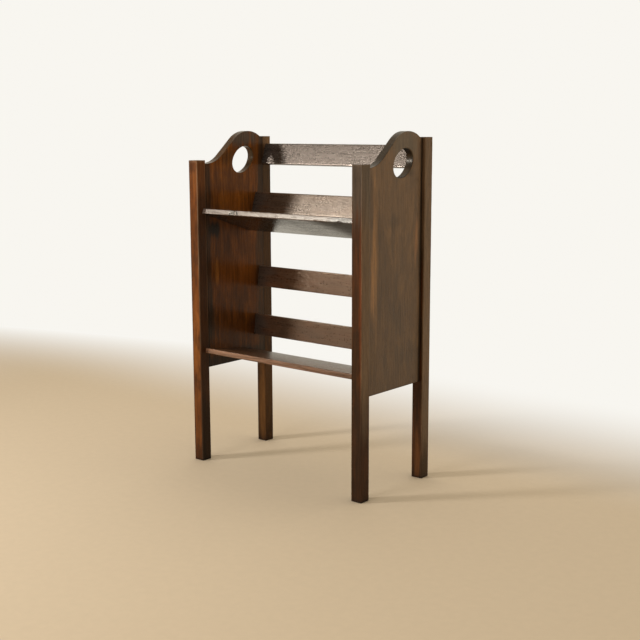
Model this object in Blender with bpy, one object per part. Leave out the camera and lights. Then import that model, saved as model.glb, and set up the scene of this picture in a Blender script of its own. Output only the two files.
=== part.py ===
"""Two-tier book trough in dark stained oak.

Four square posts carry two scrolled side panels with oval hand holes. Two
shelves tilted down to the back and four slats leaning back span the panels, and
make an upper and a lower trough for books. Hidden dowels hold every joint.

Metres, +Z up. The front faces -Y. The origin is on the floor, below the middle
of the stand.
"""

import math

import bmesh
import bpy
from mathutils import Matrix, Vector

# Whole stand
STAND_WIDTH = 0.468
STAND_DEPTH = 0.229

# Posts
POST_SIZE = 0.025
FRONT_POST_HEIGHT = 0.658
BACK_POST_HEIGHT = 0.707
POST_ARRIS = 0.0010
FOOT_CHAMFER = 0.0030

# Side panels, flush with the posts' inner faces
PANEL_THICKNESS = 0.018
PANEL_BOTTOM = 0.208
PANEL_ARRIS = 0.0010

# Scrolled top of a side panel: a flat behind the front post, a cove, a straight
# ramp and a round hump that falls to the top of the back post
SCROLL_FRONT_DROP = 0.007
COVE_RADIUS = 0.070
RAMP_ANGLE = math.radians(41)
HUMP_RADIUS = 0.066
HUMP_RISE = 0.012
HUMP_SETBACK = 0.0455
SCROLL_STEPS = 14

# Hand hole, an oval that rises to the back, measured from the top of the hump
HAND_HOLE_LENGTH = 0.0692
HAND_HOLE_WIDTH = 0.0508
HAND_HOLE_TILT = math.radians(34)
HAND_HOLE_LEAD = 0.0178
HAND_HOLE_DROP = 0.0619
HAND_HOLE_EASE = 0.0015
HAND_HOLE_SIDES = 48

# Shelves: heights and insets are those of the upper front arris
SHELF_THICKNESS = 0.011
SHELF_DEPTH = 0.152
SHELF_FRONT_INSET = 0.0157
SHELF_NOSING = 0.0030
SHELF_BACK_ARRIS = 0.0015
UPPER_SHELF_HEIGHT = 0.5563
UPPER_SHELF_TILT = math.radians(18)
LOWER_SHELF_HEIGHT = 0.2525
LOWER_SHELF_TILT = math.radians(9.4)

# Back slats: insets, the drop from the back post's top and the height are those of
# the top slat's upper front arris in each trough
SLAT_WIDTH = 0.047
SLAT_THICKNESS = 0.010
SLAT_ARRIS = 0.0015
UPPER_SLAT_DROP = 0.016
UPPER_SLAT_BACK_INSET = 0.0155
UPPER_SLAT_LEAN = math.radians(18)
UPPER_SLAT_PITCH = 0.112
LOWER_SLAT_HEIGHT = 0.4175
LOWER_SLAT_BACK_INSET = 0.0415
LOWER_SLAT_LEAN = math.radians(7.2)
LOWER_SLAT_PITCH = 0.110

# Dowels between the panels' edges and the posts
EDGE_DOWEL_RADIUS = 0.0040
EDGE_DOWEL_LENGTH = 0.030
EDGE_DOWEL_MARGIN = 0.022

# Dowels in the ends of the shelves and the slats
SHELF_DOWEL_RADIUS = 0.0030
SHELF_DOWEL_FRONT = 0.042
SHELF_DOWEL_BACK = 0.040
SLAT_DOWEL_RADIUS = 0.0025
SLAT_DOWEL_SPREAD = 0.018
BOARD_DOWEL_DEPTH = 0.018
SIDE_DOWEL_DEPTH = 0.009

# Dowel ends, fits and facets
DOWEL_CHAMFER = 0.0008
DOWEL_CLEARANCE = 0.00025
DOWEL_END_CLEARANCE = 0.0006
DOWEL_SIDES = 16
JOINT_GAP = 0.0003
NOSING_STEPS = 3

# Places worked out from the sizes above
HALF_WIDTH = STAND_WIDTH / 2
HALF_DEPTH = STAND_DEPTH / 2
INNER_FACE = HALF_WIDTH - POST_SIZE
PANEL_FRONT = -HALF_DEPTH + POST_SIZE + JOINT_GAP
PANEL_BACK = HALF_DEPTH - POST_SIZE - JOINT_GAP
SCROLL_FLAT = FRONT_POST_HEIGHT - SCROLL_FRONT_DROP
HUMP_Y = PANEL_BACK - HUMP_SETBACK
HUMP_Z = BACK_POST_HEIGHT + HUMP_RISE - HUMP_RADIUS
BOARD_LENGTH = 2 * (INNER_FACE - JOINT_GAP)
UPPER_SLAT_HEIGHT = BACK_POST_HEIGHT - UPPER_SLAT_DROP
SHARP_ANGLE = math.radians(30)


def clear_scene():
    """Removes every object that the scene starts with."""
    for item in list(bpy.data.objects):
        bpy.data.objects.remove(item, do_unlink=True)


def stained_wood(name, colour, roughness):
    """Returns a Principled material of one wood finish."""
    material = bpy.data.materials.new(name)
    material.use_nodes = True
    shader = material.node_tree.nodes["Principled BSDF"]
    shader.inputs["Base Color"].default_value = (*colour, 1.0)
    shader.inputs["Roughness"].default_value = roughness
    shader.inputs["Metallic"].default_value = 0.0
    return material


def rounded_rectangle(width, height, radii, steps):
    """Returns the corner arcs of a rectangle as points, counter-clockwise from (0, 0).

    radii holds the four corner radii in the same order. One step gives chamfers.
    """
    corners = ((0.0, 0.0), (width, 0.0), (width, height), (0.0, height))
    inward = ((1, 1), (-1, 1), (-1, -1), (1, -1))
    points = []
    for index, (corner, side, radius) in enumerate(zip(corners, inward, radii)):
        centre = (corner[0] + side[0] * radius, corner[1] + side[1] * radius)
        start = math.pi + index * math.pi / 2
        for step in range(steps + 1):
            angle = start + step / steps * math.pi / 2
            points.append((centre[0] + radius * math.cos(angle), centre[1] + radius * math.sin(angle)))
    return points


def circle(radius, sides):
    """Returns the corners of a regular polygon round the origin."""
    turns = [2 * math.pi * side / sides for side in range(sides)]
    return [(radius * math.cos(turn), radius * math.sin(turn)) for turn in turns]


def oval(half_length, half_width, tilt, sides):
    """Returns the corners of an ellipse round the origin, turned by a tilt."""
    run, rise = math.cos(tilt), math.sin(tilt)
    corners = [(half_length * along, half_width * across) for along, across in circle(1.0, sides)]
    return [(along * run - across * rise, along * rise + across * run) for along, across in corners]


def loft(rings):
    """Returns a closed solid that joins rings of equal length, capped at both ends."""
    solid = bmesh.new()
    loops = [[solid.verts.new(point) for point in ring] for ring in rings]
    for lower, upper in zip(loops, loops[1:]):
        for index in range(len(lower)):
            after = (index + 1) % len(lower)
            solid.faces.new((lower[index], lower[after], upper[after], upper[index]))
    solid.faces.new(loops[0])
    solid.faces.new(loops[-1])
    bmesh.ops.recalc_face_normals(solid, faces=solid.faces)
    return solid


def as_mesh(name, solid):
    """Turns a bmesh into a mesh, smooth across its round parts."""
    mesh = bpy.data.meshes.new(name)
    solid.to_mesh(mesh)
    solid.free()
    mesh.shade_smooth()
    mesh.set_sharp_from_angle(angle=SHARP_ANGLE)
    return mesh


def add_piece(name, solid, finish, stand, place, turn=0.0):
    """Adds one piece of the stand at its place, turned about X."""
    mesh = as_mesh(name, solid)
    mesh.materials.append(finish)
    piece = bpy.data.objects.new(name, mesh)
    bpy.context.scene.collection.objects.link(piece)
    piece.parent = stand
    piece.location = place
    piece.rotation_euler = (turn, 0.0, 0.0)
    return piece


def add_cut(piece, solid, label):
    """Cuts a solid, given in the stand's frame, out of a piece."""
    name = f"{piece.name}_{label}"
    cutter = bpy.data.objects.new(name, as_mesh(name, solid))
    bpy.context.scene.collection.objects.link(cutter)
    cutter.parent = piece.parent
    cutter.hide_render = True
    cutter.display_type = "WIRE"
    cut = piece.modifiers.new(label, "BOOLEAN")
    cut.operation = "DIFFERENCE"
    cut.solver = "EXACT"
    cut.object = cutter


def post_solid(height):
    """Returns a square post with eased arrises, chamfered at the foot and eased on top."""
    def ring(inset, level):
        side = POST_SIZE - 2 * inset
        outline = rounded_rectangle(side, side, (POST_ARRIS,) * 4, 1)
        return [(x - side / 2, y - side / 2, level) for x, y in outline]

    return loft([
        ring(FOOT_CHAMFER, 0.0),
        ring(0.0, FOOT_CHAMFER),
        ring(0.0, height - POST_ARRIS),
        ring(POST_ARRIS, height),
    ])


def scroll_points():
    """Returns the panel's top edge as (y, z) points from the front post to the back post."""
    ramp_top_y = HUMP_Y - HUMP_RADIUS * math.sin(RAMP_ANGLE)
    ramp_top_z = HUMP_Z + HUMP_RADIUS * math.cos(RAMP_ANGLE)
    rise = max(ramp_top_z - SCROLL_FLAT, 0.0)
    corner_y = ramp_top_y - rise / math.tan(RAMP_ANGLE)
    half_turn = math.tan(RAMP_ANGLE / 2)
    cove_radius = min(COVE_RADIUS, rise / math.sin(RAMP_ANGLE) / half_turn)
    cove_start = corner_y - cove_radius * half_turn
    cove_end = cove_start + cove_radius * math.sin(RAMP_ANGLE)
    fall = max(BACK_POST_HEIGHT - HUMP_Z, 0.0)
    hump_end = HUMP_Y + math.sqrt(max(HUMP_RADIUS ** 2 - fall ** 2, 0.0))

    def height(y):
        if y <= cove_start:
            return SCROLL_FLAT
        if y < cove_end:
            return SCROLL_FLAT + cove_radius - math.sqrt(cove_radius ** 2 - (y - cove_start) ** 2)
        if y < ramp_top_y:
            return max(SCROLL_FLAT, ramp_top_z - (ramp_top_y - y) * math.tan(RAMP_ANGLE))
        if y < hump_end:
            return HUMP_Z + math.sqrt(HUMP_RADIUS ** 2 - (y - HUMP_Y) ** 2)
        return BACK_POST_HEIGHT

    stretch = hump_end - ramp_top_y
    places = [PANEL_FRONT, HUMP_Y, PANEL_BACK]
    for step in range(SCROLL_STEPS + 1):
        places.append(cove_start + step / SCROLL_STEPS * (cove_end - cove_start))
        places.append(ramp_top_y + step / SCROLL_STEPS * stretch)
    within = sorted({place for place in places if PANEL_FRONT <= place <= PANEL_BACK})
    return [(y, height(y)) for y in within]


def panel_solid():
    """Returns a panel blank, from its inner face at x = 0 outwards, with eased scroll and foot."""
    outline = [(PANEL_FRONT, PANEL_BOTTOM), (PANEL_BACK, PANEL_BOTTOM), *reversed(scroll_points())]
    rings = [[(x, y, z) for y, z in outline] for x in (0.0, PANEL_THICKNESS)]
    solid = loft(rings)

    def is_eased(edge):
        start, end = (vertex.co for vertex in edge.verts)
        on_a_face = math.isclose(start.x, end.x, abs_tol=1e-9)
        on_an_edge_joint = math.isclose(start.y, end.y, abs_tol=1e-9)
        return on_a_face and not on_an_edge_joint

    eased = [edge for edge in solid.edges if is_eased(edge)]
    bmesh.ops.bevel(solid, geom=eased, offset=PANEL_ARRIS, segments=1, affect="EDGES")
    return solid


def hand_hole_solid(inner_face, outward):
    """Returns the cutter of a hand hole with eased rims, across one panel."""
    centre = Vector((0.0, HUMP_Y - HAND_HOLE_LEAD, BACK_POST_HEIGHT + HUMP_RISE - HAND_HOLE_DROP))
    ease = HAND_HOLE_EASE
    stations = (
        (-ease, 2 * ease),
        (ease, 0.0),
        (PANEL_THICKNESS - ease, 0.0),
        (PANEL_THICKNESS + ease, 2 * ease),
    )
    rings = []
    for across, spread in stations:
        outline = oval(HAND_HOLE_LENGTH / 2 + spread, HAND_HOLE_WIDTH / 2 + spread, HAND_HOLE_TILT, HAND_HOLE_SIDES)
        x = inner_face + outward * across
        rings.append([(x, centre.y + y, centre.z + z) for y, z in outline])
    return loft(rings)


def board_solid(depth, height, radii):
    """Returns a board along X with rounded arrises, its upper front arris at the origin's corner."""
    outline = rounded_rectangle(depth, height, radii, NOSING_STEPS)
    ends = (-BOARD_LENGTH / 2, BOARD_LENGTH / 2)
    return loft([[(x, y, z - height) for y, z in outline] for x in ends])


def rod(start, end, radius, chamfer):
    """Returns a round rod between two points, with chamfered ends where chamfer is not zero."""
    run = end - start
    turn = run.to_track_quat("Z", "Y").to_matrix().to_4x4()
    stations = [(0.0, radius), (run.length, radius)]
    if chamfer:
        stations = [(0.0, radius - chamfer), (chamfer, radius),
                    (run.length - chamfer, radius), (run.length, radius - chamfer)]
    frame = Matrix.Translation(start) @ turn
    rings = []
    for level, reach in stations:
        rings.append([frame @ Vector((x, y, level)) for x, y in circle(reach, DOWEL_SIDES)])
    return loft(rings)


class Dowels:
    """The stand's dowels, and the sockets that they need in the boards that they join."""

    def __init__(self, finish, stand):
        self.finish = finish
        self.stand = stand
        self.sockets = {}

    def add(self, name, start, end, radius, boards):
        """Adds one dowel between two points, and its socket in each of the boards."""
        middle = (start + end) / 2
        add_piece(name, rod(start - middle, end - middle, radius, DOWEL_CHAMFER), self.finish, self.stand, middle)
        spare = (end - start).normalized() * DOWEL_END_CLEARANCE
        for board in boards:
            self.sockets.setdefault(board, []).append((start - spare, end + spare, radius + DOWEL_CLEARANCE))

    def cut_sockets(self):
        """Cuts every board's sockets, as one cutter a board."""
        for board, sockets in self.sockets.items():
            cutter = bmesh.new()
            for start, end, radius in sockets:
                drilled = rod(start, end, radius, 0.0)
                mesh = bpy.data.meshes.new("socket")
                drilled.to_mesh(mesh)
                drilled.free()
                cutter.from_mesh(mesh)
                bpy.data.meshes.remove(mesh)
            add_cut(board, cutter, "sockets")


class Tier:
    """One trough: its shelf and its two slats, and where their dowels go."""

    def __init__(self, name, shelf_height, shelf_tilt, slat_height, slat_back_inset, slat_lean, slat_pitch):
        self.name = name
        self.shelf_place = Vector((0.0, -HALF_DEPTH + SHELF_FRONT_INSET, shelf_height))
        self.shelf_turn = Matrix.Rotation(-shelf_tilt, 3, "X")
        self.shelf_tilt = shelf_tilt
        self.slat_lean = slat_lean
        self.slat_turn = Matrix.Rotation(-slat_lean, 3, "X")
        top = Vector((0.0, HALF_DEPTH - slat_back_inset, slat_height))
        step_down = self.slat_turn @ Vector((0.0, 0.0, -slat_pitch))
        self.slat_places = {"top": top, "low": top + step_down}

    def slat_middle(self, label):
        """Returns the middle of a slat's section."""
        across = Vector((0.0, SLAT_THICKNESS / 2, -SLAT_WIDTH / 2))
        return self.slat_places[label] + self.slat_turn @ across

    def build(self, finishes, stand):
        """Adds the shelf and the slats, and returns each with the middles of its dowels."""
        arrises = (SHELF_NOSING, SHELF_BACK_ARRIS, SHELF_BACK_ARRIS, SHELF_NOSING)
        shelf = add_piece(
            f"{self.name}_shelf",
            board_solid(SHELF_DEPTH, SHELF_THICKNESS, arrises),
            finishes["shelf"], stand, self.shelf_place, -self.shelf_tilt)
        shelf_dowels = []
        for along in (SHELF_DOWEL_FRONT, SHELF_DEPTH - SHELF_DOWEL_BACK):
            shelf_dowels.append(self.shelf_place + self.shelf_turn @ Vector((0.0, along, -SHELF_THICKNESS / 2)))
        boards = [(shelf, SHELF_DOWEL_RADIUS, shelf_dowels)]
        for label, place in self.slat_places.items():
            slat = add_piece(
                f"{self.name}_{label}_slat",
                board_solid(SLAT_THICKNESS, SLAT_WIDTH, (SLAT_ARRIS,) * 4),
                finishes["slat"], stand, place, -self.slat_lean)
            half_spread = self.slat_turn @ Vector((0.0, 0.0, SLAT_DOWEL_SPREAD / 2))
            middle = self.slat_middle(label)
            boards.append((slat, SLAT_DOWEL_RADIUS, [middle + half_spread, middle - half_spread]))
        return boards


class Side:
    """One end of the stand: a front post, a back post and the scrolled panel between them."""

    def __init__(self, name, outward):
        self.name = name
        self.outward = outward
        self.pieces = {}

    def build(self, finishes, stand):
        """Adds the posts and the panel."""
        x = self.outward * (HALF_WIDTH - POST_SIZE / 2)
        post_y = HALF_DEPTH - POST_SIZE / 2
        self.pieces["front"] = add_piece(
            f"front_{self.name}_post", post_solid(FRONT_POST_HEIGHT), finishes["post"], stand, (x, -post_y, 0.0))
        self.pieces["back"] = add_piece(
            f"back_{self.name}_post", post_solid(BACK_POST_HEIGHT), finishes["post"], stand, (x, post_y, 0.0))
        blank = panel_solid()
        bmesh.ops.scale(blank, vec=(self.outward, 1.0, 1.0), verts=blank.verts)
        bmesh.ops.recalc_face_normals(blank, faces=blank.faces)
        inner_face = self.outward * INNER_FACE
        panel = add_piece(f"{self.name}_side_panel", blank, finishes["panel"], stand, (inner_face, 0.0, 0.0))
        add_cut(panel, hand_hole_solid(inner_face, self.outward), "hand_hole")
        self.pieces["panel"] = panel

    def join_edges(self, dowels, levels):
        """Dowels the panel's two edges to the posts at the given heights."""
        x = self.outward * (INNER_FACE + PANEL_THICKNESS / 2)
        half_length = Vector((0.0, EDGE_DOWEL_LENGTH / 2, 0.0))
        for end, y in (("front", PANEL_FRONT - JOINT_GAP / 2), ("back", PANEL_BACK + JOINT_GAP / 2)):
            for number, level in enumerate(levels, start=1):
                middle = Vector((x, y, level))
                dowels.add(
                    f"{self.name}_{end}_edge_dowel_{number}", middle - half_length, middle + half_length,
                    EDGE_DOWEL_RADIUS, (self.pieces[end], self.pieces["panel"]))

    def join_boards(self, dowels, boards):
        """Dowels the ends of the shelves and the slats to this side."""
        for board, radius, middles in boards:
            for number, middle in enumerate(middles, start=1):
                start = Vector((self.outward * (INNER_FACE - BOARD_DOWEL_DEPTH), middle.y, middle.z))
                end = Vector((self.outward * (INNER_FACE + SIDE_DOWEL_DEPTH), middle.y, middle.z))
                dowels.add(
                    f"{board.name}_{self.name}_dowel_{number}", start, end, radius,
                    (board, *self.pieces.values()))


def edge_dowel_levels(upper, lower):
    """Returns the heights of the edge dowels, each midway between two slats or below them."""
    slats = [tier.slat_middle(label).z for tier in (lower, upper) for label in ("low", "top")]
    levels = [(below + above) / 2 for below, above in zip(slats, slats[1:])]
    levels[-1] = min(levels[-1], SCROLL_FLAT - EDGE_DOWEL_MARGIN)
    return [PANEL_BOTTOM + EDGE_DOWEL_MARGIN, *levels]


def build_stand():
    """Builds the whole stand."""
    clear_scene()
    finishes = {
        "post": stained_wood("post_oak", (0.130, 0.052, 0.022), 0.38),
        "panel": stained_wood("panel_oak", (0.095, 0.044, 0.022), 0.42),
        "shelf": stained_wood("shelf_oak", (0.085, 0.042, 0.024), 0.34),
        "slat": stained_wood("slat_oak", (0.070, 0.033, 0.018), 0.36),
    }
    dowel_wood = stained_wood("dowel_birch", (0.520, 0.360, 0.200), 0.65)
    stand = bpy.data.objects.new("book_trough", None)
    bpy.context.scene.collection.objects.link(stand)

    upper = Tier("upper", UPPER_SHELF_HEIGHT, UPPER_SHELF_TILT, UPPER_SLAT_HEIGHT,
                 UPPER_SLAT_BACK_INSET, UPPER_SLAT_LEAN, UPPER_SLAT_PITCH)
    lower = Tier("lower", LOWER_SHELF_HEIGHT, LOWER_SHELF_TILT, LOWER_SLAT_HEIGHT,
                 LOWER_SLAT_BACK_INSET, LOWER_SLAT_LEAN, LOWER_SLAT_PITCH)
    boards = upper.build(finishes, stand) + lower.build(finishes, stand)
    dowels = Dowels(dowel_wood, stand)
    levels = edge_dowel_levels(upper, lower)
    for name, outward in (("left", -1), ("right", 1)):
        side = Side(name, outward)
        side.build(finishes, stand)
        side.join_edges(dowels, levels)
        side.join_boards(dowels, boards)
    dowels.cut_sockets()


build_stand()
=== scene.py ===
"""Looks of a two-tier book trough in dark stained oak.

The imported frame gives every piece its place. Each timber that shows is modelled
again here with eased and rubbed arrises, and takes a stained and varnished oak
finish whose grain runs along it. The hidden dowels keep their solids.
"""

import logging
import math
from contextlib import contextmanager
from dataclasses import dataclass, field
from enum import Enum
from typing import Any, Callable, Iterator, Optional, Sequence, Union

import bmesh
import bpy
from mathutils import Matrix, Vector


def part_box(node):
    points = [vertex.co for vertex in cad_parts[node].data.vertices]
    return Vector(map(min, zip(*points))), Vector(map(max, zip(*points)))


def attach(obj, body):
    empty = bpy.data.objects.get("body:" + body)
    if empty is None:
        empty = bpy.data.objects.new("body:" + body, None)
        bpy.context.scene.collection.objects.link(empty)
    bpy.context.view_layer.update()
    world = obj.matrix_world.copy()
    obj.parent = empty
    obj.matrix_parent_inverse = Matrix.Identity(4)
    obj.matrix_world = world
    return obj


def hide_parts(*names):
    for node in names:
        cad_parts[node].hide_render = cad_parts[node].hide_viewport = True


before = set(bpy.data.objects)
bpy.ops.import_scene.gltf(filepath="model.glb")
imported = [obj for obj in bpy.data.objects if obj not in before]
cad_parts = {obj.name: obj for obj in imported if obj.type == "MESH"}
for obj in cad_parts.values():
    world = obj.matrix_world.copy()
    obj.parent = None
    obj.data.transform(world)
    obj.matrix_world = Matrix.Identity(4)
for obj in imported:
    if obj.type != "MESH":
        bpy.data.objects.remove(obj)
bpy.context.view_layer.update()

Colour = tuple[float, float, float]
Triple = tuple[float, float, float]
Span = tuple[float, float]
LOG = logging.getLogger("book_trough")
MM = 0.001
TINY = 1e-6
PARALLEL = 0.99


class Grain(Enum):
    """The axis that a timber's grain runs along."""

    LEVEL = 0
    UPRIGHT = 2

    def stretch(self, across: float, along: float) -> Triple:
        """Gives the scale of a pattern that is drawn out along the grain.

        Args:
            across: Repeats a metre across the grain.
            along: Repeats a metre along the grain.

        Returns:
            The scale on X, Y and Z.
        """
        scale = [across, across, across]
        scale[self.value] = along
        return tuple(scale)


class Side(Enum):
    """One end of the stand, as the names of its pieces say it."""

    LEFT = "left"
    RIGHT = "right"


class Wire:
    """A node's output that takes part in Python expressions on numbers."""

    def __init__(self, bench: "ShaderBench", socket: bpy.types.NodeSocket) -> None:
        """Keeps the socket and the tree that it is in."""
        self.bench = bench
        self.socket = socket

    def __add__(self, other: "Operand") -> "Wire":
        """Adds."""
        return self.bench.math("ADD", self, other)

    __radd__ = __add__

    def __sub__(self, other: "Operand") -> "Wire":
        """Subtracts."""
        return self.bench.math("SUBTRACT", self, other)

    def __rsub__(self, other: "Operand") -> "Wire":
        """Subtracts from a number."""
        return self.bench.math("SUBTRACT", other, self)

    def __mul__(self, other: "Operand") -> "Wire":
        """Multiplies."""
        return self.bench.math("MULTIPLY", self, other)

    __rmul__ = __mul__

    def scaled(self, base: float, slope: float) -> "Wire":
        """Gives a base and so much of the value."""
        return base + slope * self

    def at_most(self, other: "Operand") -> "Wire":
        """Takes the smaller of two values."""
        return self.bench.math("MINIMUM", self, other)

    def ramp(self, low: float, high: float) -> "Wire":
        """Rises smoothly from 0 at low to 1 at high.

        Args:
            low: The value that gives 0.
            high: The value that gives 1.

        Returns:
            The smooth step.
        """
        settings = {"interpolation_type": "SMOOTHSTEP", "clamp": True}
        return self.bench.add("ShaderNodeMapRange", settings, {0: self, 1: low, 2: high, 3: 0.0, 4: 1.0})


Operand = Union[Wire, float, int]


class ShaderBench:
    """The node tree of one material or of the world."""

    NOISE_ROUGHNESS = 0.55

    def __init__(self, tree: bpy.types.NodeTree) -> None:
        """Keeps the tree."""
        self.tree = tree

    def add(self, kind: str, settings: Optional[dict[str, Any]] = None,
            sockets: Optional[dict[Union[str, int], Any]] = None, out: Union[str, int] = 0) -> Wire:
        """Adds any node: its settings first, then its sockets.

        Args:
            kind: The node's type.
            settings: Attributes by name.
            sockets: Values or wires by socket name or number.
            out: The output that is wanted.

        Returns:
            That output.
        """
        node = self.tree.nodes.new(kind)
        for name, value in (settings or {}).items():
            setattr(node, name, value)
        for key, value in (sockets or {}).items():
            self.plug(node.inputs[key], value)
        return Wire(self, node.outputs[out])

    def plug(self, socket: bpy.types.NodeSocket, value: Any) -> None:
        """Links a wire to a socket, or sets the socket's own value.

        Args:
            socket: The socket.
            value: A wire, or a value of the socket's own kind.
        """
        if isinstance(value, Wire):
            self.tree.links.new(value.socket, socket)
        else:
            socket.default_value = value

    def math(self, operation: str, first: Operand, second: Operand) -> Wire:
        """Adds a Math node."""
        return self.add("ShaderNodeMath", {"operation": operation}, {0: first, 1: second})

    def vector(self, operation: str, first: Any, second: Any, third: Triple = (0.0, 0.0, 0.0)) -> Wire:
        """Adds a Vector Math node."""
        return self.add("ShaderNodeVectorMath", {"operation": operation}, {0: first, 1: second, 2: third})

    def mapped(self, place: Wire, scale: Triple, shift: Triple = (0.0, 0.0, 0.0)) -> Wire:
        """Scales and shifts a place, which draws a pattern out and makes it differ from piece to piece."""
        return self.add("ShaderNodeMapping", {}, {"Vector": place, "Location": shift, "Scale": scale})

    def noise(self, place: Wire, detail: float, out: str = "Fac") -> Wire:
        """Adds noise of one repeat a unit."""
        sockets = {"Vector": place, "Scale": 1.0, "Detail": detail, "Roughness": self.NOISE_ROUGHNESS}
        return self.add("ShaderNodeTexNoise", {}, sockets, out)

    def mix(self, factor: Operand, first: Any, second: Any, blend: str = "MIX") -> Wire:
        """Mixes two colours."""
        settings = {"data_type": "RGBA", "blend_type": blend}
        return self.add("ShaderNodeMix", settings, {0: factor, 6: first, 7: second}, 2)

    def length(self, place: Wire) -> Wire:
        """Gives the length of a vector."""
        return self.add("ShaderNodeVectorMath", {"operation": "LENGTH"}, {0: place}, "Value")

    def grey(self, value: Wire) -> Wire:
        """Turns a number into a grey."""
        return self.add("ShaderNodeCombineColor", {}, {0: value, 1: value, 2: value})


def opaque(colour: Colour) -> tuple[float, float, float, float]:
    """Adds a full alpha to a colour."""
    return (*colour, 1.0)


def clamp(value: float) -> float:
    """Keeps a number between 0 and 1."""
    return min(max(value, 0.0), 1.0)


def new_material(name: str) -> tuple[bpy.types.Material, ShaderBench, bpy.types.Node]:
    """Starts a material.

    Args:
        name: The material's name.

    Returns:
        The material, its tree and its Principled shader.
    """
    material = bpy.data.materials.new(name)
    material.use_nodes = True
    return material, ShaderBench(material.node_tree), material.node_tree.nodes["Principled BSDF"]


@dataclass(frozen=True)
class Pattern:
    """Noise that is drawn out along the grain, by its repeats a metre across the grain and along it."""

    across: float
    along: float
    detail: float


@dataclass(frozen=True)
class Shares:
    """How much each part of the grain counts in a sum."""

    fibre: float
    lines: float
    pores: float
    ripple: float
    specks: float


SWAY = Pattern(across=10, along=5, detail=2.0)
FIGURE = Pattern(across=80, along=4.5, detail=4.0)
BROAD = Pattern(across=15, along=7, detail=2.0)
LINES = Pattern(across=340, along=12, detail=2.0)
FIBRE = Pattern(across=950, along=24, detail=2.0)
PORES = Pattern(across=1900, along=95, detail=1.0)
RIPPLE = Pattern(across=380, along=150, detail=2.0)
SPECKS = Pattern(across=170, along=420, detail=3.0)
CLOUDS = Pattern(across=48, along=20, detail=3.0)
SEED_STEP = (1.37, 2.71, 0.53)
SWAY_REACH = 16 * MM

LINE_RISE = (0.3, 0.7)
PORE_RISE = (0.60, 0.70)
FLAME_RISE = (0.46, 0.60)
SHADE_RISE = (0.48, 0.60)
BALD_RISE = (0.25, 0.5)
CHECK_RISE = (1.25, 1.7)
EDGE_MOTTLE = (0.1, 1.8)
EDGE_DRIFT = (0.6, 0.8)
BARE_LINES = (0.3, 0.7)
# Dirt and painted shade: how the broad noise spreads them, how dark dirt and painted shade make a shelf's underside,
# and how dark the dirty checks are.
DIRT_AND_SHADE_DRIFT = (0.4, 1.2)
UNDERSIDE_SHADE_AND_DIRT = 1.2
CHECK_DIRT = 2.2

GRAIN_TONE = 0.56
FIBRE_TONE = 0.88
IN_GLOSS = Shares(fibre=0.08, lines=0.08, pores=0.14, ripple=0.2, specks=0.6)
IN_RELIEF = Shares(fibre=0.45, lines=0.3, pores=-0.8, ripple=1.4, specks=2.4)
RELIEF_HEIGHT = 0.12 * MM


@dataclass(frozen=True)
class GrainParts:
    """The parts of one timber's grain, the marks of its use, and its painted shade and highlight, as wires."""

    start: Wire
    figure: Wire
    broad: Wire
    lines: Wire
    fibre: Wire
    pores: Wire
    ripple: Wire
    specks: Wire
    clouds: Wire
    rubbed: Wire
    dirty: Wire
    edge: Wire

    @classmethod
    def lay(cls, bench: ShaderBench, grain: Grain, seed: int) -> "GrainParts":
        """Lays out the grain of one timber.

        Args:
            bench: The material's tree.
            grain: The axis of the grain.
            seed: Which part of the endless pattern the timber shows.

        Returns:
            The parts.
        """
        shift = tuple(seed * step for step in SEED_STEP)

        def noise(pattern: Pattern, place: Wire, out: str = "Fac") -> Wire:
            """Adds a pattern's noise, shifted to the timber's own part of it."""
            scale = grain.stretch(pattern.across, pattern.along)
            return bench.noise(bench.mapped(place, scale, shift), pattern.detail, out)

        def mark(name: str) -> Wire:
            """Reads one of the piece's attributes."""
            return bench.add("ShaderNodeAttribute", {"attribute_name": name}, out="Fac")

        start = bench.add("ShaderNodeTexCoord", out="Object")
        sway = bench.vector("MULTIPLY_ADD", noise(SWAY, start, "Color"), (SWAY_REACH,) * 3, (-SWAY_REACH / 2,) * 3)
        place = bench.vector("ADD", start, sway)
        return cls(
            start=start,
            figure=noise(FIGURE, place),
            broad=noise(BROAD, start),
            lines=noise(LINES, place).ramp(*LINE_RISE),
            fibre=noise(FIBRE, place),
            pores=noise(PORES, place).ramp(*PORE_RISE),
            ripple=noise(RIPPLE, start),
            specks=noise(SPECKS, start) - 0.5,
            clouds=noise(CLOUDS, place),
            rubbed=mark("rubbed"),
            dirty=mark("dirt"),
            edge=mark("edge"))


@dataclass(frozen=True)
class Patch:
    """A place where a timber's colour, or its gloss, departs from the rest of it, with a frayed rim.

    With an endless reach along an axis it is a band. Several patches are painted shade,
    painted sheen and painted light. One that is underneath shows only on a shelf's
    underside, which dirt and painted shade darken.
    """

    centre: Triple
    reach: Triple
    colour: Colour
    strength: float
    fray: float = 1.6
    drift: float = 0.8
    matte: float = 0.0
    underneath: bool = False
    rim: Span = (0.35, 1.0)

    def cover(self, bench: ShaderBench, parts: GrainParts) -> Wire:
        """Gives how far the patch covers each place.

        Args:
            bench: The material's tree.
            parts: The timber's grain, which frays and bends the rim.

        Returns:
            1 in the patch, 0 outside it.
        """
        scale = tuple(1.0 / reach for reach in self.reach)
        offset = bench.vector("MULTIPLY", bench.vector("SUBTRACT", parts.start, self.centre), scale)
        out = bench.length(offset) + (parts.figure - 0.5) * self.fray + (parts.broad - 0.5) * self.drift
        cover = 1.0 - out.ramp(*self.rim)
        if self.underneath:
            return cover * parts.dirty.at_most(1.0) * (1.0 - parts.dirty.ramp(*CHECK_RISE))
        return cover


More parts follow.
